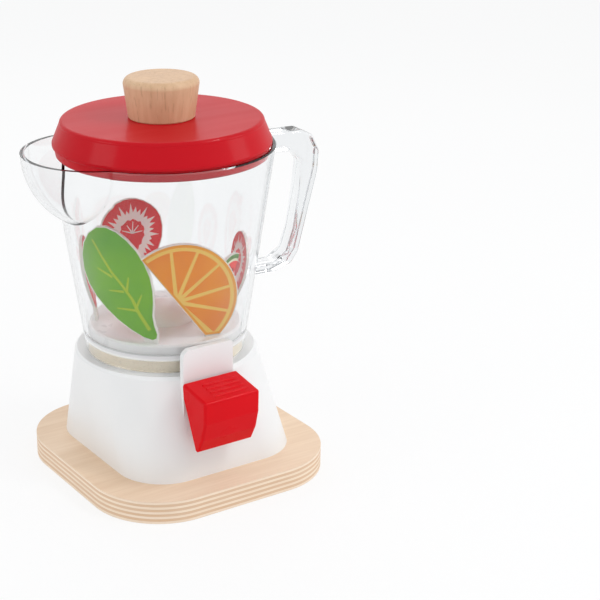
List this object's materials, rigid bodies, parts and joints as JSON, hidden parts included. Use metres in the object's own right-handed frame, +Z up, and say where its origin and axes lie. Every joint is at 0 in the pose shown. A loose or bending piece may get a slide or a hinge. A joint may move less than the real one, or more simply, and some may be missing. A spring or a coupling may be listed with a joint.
{
  "type": "toy blender",
  "caption": "Wooden toy blender: plywood base, white housing with a press lever, clear jug with spout and handle, turning fruit shapes, red lid with wooden knob",
  "frame": {"origin": "point on the board's underside below the jug axis", "axes": "+Z up along the jug axis; the lever side faces -Y; +X runs along the front towards the jug's handle"},
  "size_m": [0.1821, 0.153, 0.2394],
  "materials": {
    "plywood": "satin",
    "white_plastic": "satin",
    "seat_wood": "satin",
    "grey_plastic": "matte",
    "steel": "satin",
    "red_plastic": "gloss",
    "gear_plastic": "satin",
    "clear_plastic": "gloss",
    "print_green": "satin",
    "print_orange": "satin",
    "print_melon": "satin",
    "print_red": "satin",
    "red_lacquer": "gloss",
    "beech": "satin"
  },
  "bodies": {
    "base": {"base_board": "plywood", "base_housing": "white_plastic", "jug_seat": "seat_wood", "shaft_bush": "grey_plastic", "gear_bracket": "grey_plastic", "guide_block": "grey_plastic", "guide_post_left": "steel", "guide_post_right": "steel", "return_spring": "steel", "housing_screw_a": "steel", "housing_screw_b": "steel", "housing_screw_c": "steel", "housing_screw_d": "steel", "bracket_screw_a": "steel", "bracket_screw_b": "steel", "guide_screw_a": "steel", "guide_screw_b": "steel"},
    "lever": {"lever_knob": "red_plastic", "lever_carriage": "grey_plastic", "lever_screw": "steel"},
    "axle": {"cross_axle": "steel", "rack_pinion": "gear_plastic", "bevel_wheel": "gear_plastic"},
    "drive": {"drive_shaft": "steel", "bevel_pinion": "gear_plastic"},
    "jug": {"jug": "clear_plastic"},
    "rotor": {"rotor_disc": "white_plastic", "print_leaf": "print_green", "print_orange": "print_orange", "print_melon": "print_melon", "print_berry_a": "print_red", "print_berry_b": "print_red", "print_berry_c": "print_red"},
    "lid": {"lid_disc": "red_lacquer", "lid_plug": "red_lacquer", "lid_knob": "beech", "lid_dowel": "beech"}
  },
  "joints": [
    {"name": "lever_press", "type": "slide", "parent": "base", "child": "lever", "axis": [0, 0, -1], "range_m": [0, 0.014], "stiffness_N_per_m": 50, "springref_m": -0.01, "deforming": ["return_spring"]},
    {"name": "axle_turn", "type": "hinge", "parent": "base", "child": "axle", "pos_m": [-0.02, 0, 0.038], "axis": [1, 0, 0], "range_deg": [0, 107]},
    {"name": "drive_turn", "type": "hinge", "parent": "base", "child": "drive", "pos_m": [0, 0, 0.06], "axis": [0, 0, 1], "range_deg": [0, 213.9]},
    {"name": "jug_lift", "type": "slide", "parent": "base", "child": "jug", "axis": [0, 0, 1], "range_m": [0, 0.12]},
    {"name": "rotor_turn", "type": "hinge", "parent": "jug", "child": "rotor", "pos_m": [0, 0, 0.088], "axis": [0, 0, 1], "range_deg": [0, 213.8]},
    {"name": "lid_lift", "type": "slide", "parent": "jug", "child": "lid", "axis": [0, 0, 1], "range_m": [0, 0.08]}
  ],
  "couplings": [
    {"joint": "lever_press", "follows": "rotor_turn", "m_per_rad": 0.00375},
    {"joint": "axle_turn", "follows": "rotor_turn", "ratio": 0.5},
    {"joint": "drive_turn", "follows": "rotor_turn", "ratio": 1}
  ]
}
